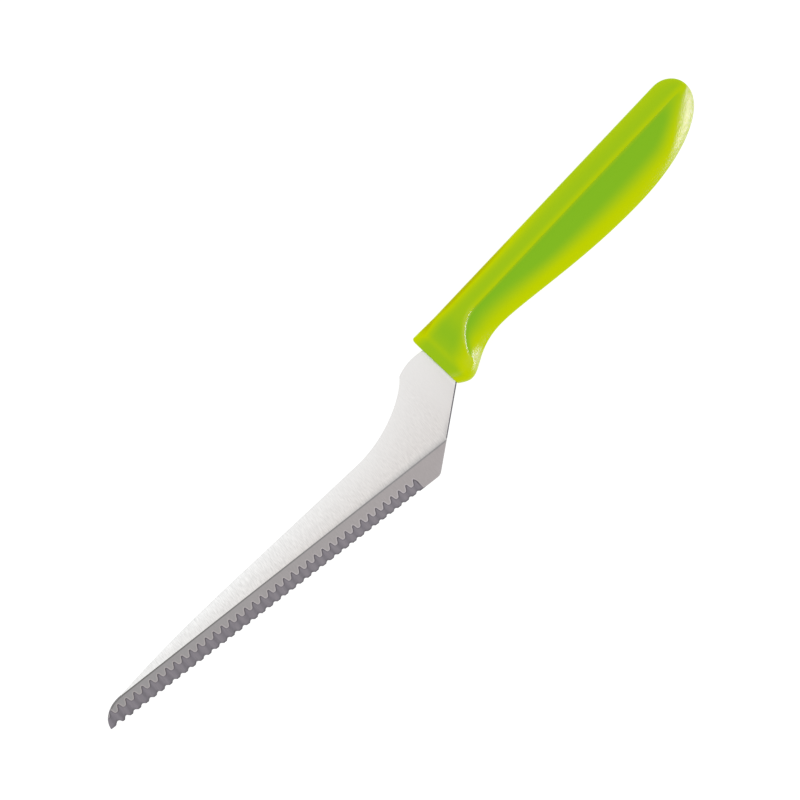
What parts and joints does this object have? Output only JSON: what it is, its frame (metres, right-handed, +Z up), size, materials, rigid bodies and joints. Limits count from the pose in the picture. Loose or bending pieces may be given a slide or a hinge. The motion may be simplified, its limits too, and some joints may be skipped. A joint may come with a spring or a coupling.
{
  "type": "offset utility knife",
  "caption": "Kitchen utility knife with a cranked neck, a serrated steel blade ground on one face, and a moulded lime-green handle with a finger guard and a creased grip panel.",
  "frame": {"origin": "below the middle of the bounding box, on the surface that the knife lies on", "axes": "+X along the handle from the tip towards the butt, +Y from the cutting edge towards the spine, +Z up, out of the serrated face"},
  "size_m": [0.2642, 0.0348, 0.0155],
  "materials": {
    "blade_steel": "brushed across the blade, ground bevel and grooves",
    "handle_plastic": "lime green, satin to semi-gloss moulding"
  },
  "bodies": {
    "root": {"blade": "blade_steel", "handle": "handle_plastic"}
  },
  "joints": []
}
